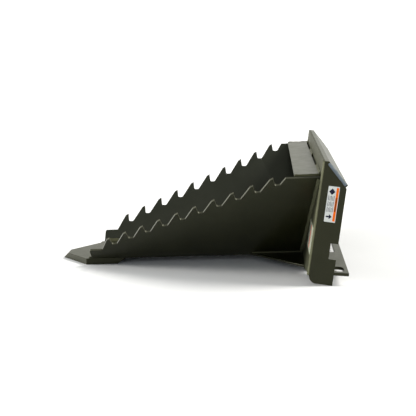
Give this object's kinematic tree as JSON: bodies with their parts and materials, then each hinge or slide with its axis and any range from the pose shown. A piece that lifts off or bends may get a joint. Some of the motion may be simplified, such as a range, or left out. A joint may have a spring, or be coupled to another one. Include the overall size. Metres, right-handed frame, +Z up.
{
  "type": "skid steer stump bucket",
  "caption": "Narrow welded V-trough bucket for a skid steer, with serrated sloping side plates, a pointed digging nose and a universal quick-attach mount at the rear.",
  "frame": {"origin": "the point on the ground in the middle of the bucket's width, directly below the foot of the leaning mount's front face", "axes": "+X forwards from the mount to the nose tip, +Y to the bucket's left, +Z up from the ground"},
  "size_m": [1.2594, 1.1445, 0.4902],
  "materials": {
    "black_paint": "satin black enamel on steel plate",
    "painted_weld": "satin black enamel over a rippled weld bead",
    "vinyl_label": "printed vinyl sticker"
  },
  "bodies": {
    "root": {"mount_face_plate": "black_paint", "hook_flange": "black_paint", "lock_pin_lip": "black_paint", "end_plate_left": "black_paint", "end_plate_right": "black_paint", "floor_plate": "black_paint", "side_plate_left": "black_paint", "side_plate_right": "black_paint", "nose_cutting_edge": "black_paint", "top_brace": "black_paint", "wing_gusset_left": "black_paint", "wing_gusset_right": "black_paint", "corner_weld_left": "painted_weld", "corner_weld_right": "painted_weld", "trough_weld_left": "painted_weld", "trough_weld_right": "painted_weld", "side_mount_weld_left": "painted_weld", "side_mount_weld_right": "painted_weld", "wing_weld_left": "painted_weld", "wing_weld_right": "painted_weld", "brace_side_weld_left": "painted_weld", "brace_side_weld_right": "painted_weld", "brace_mount_weld": "painted_weld", "hook_weld": "painted_weld", "hook_end_weld_left": "painted_weld", "hook_end_weld_right": "painted_weld", "lip_weld": "painted_weld", "nose_weld": "painted_weld", "end_plate_label": "vinyl_label", "face_plate_label": "vinyl_label"}
  },
  "joints": []
}
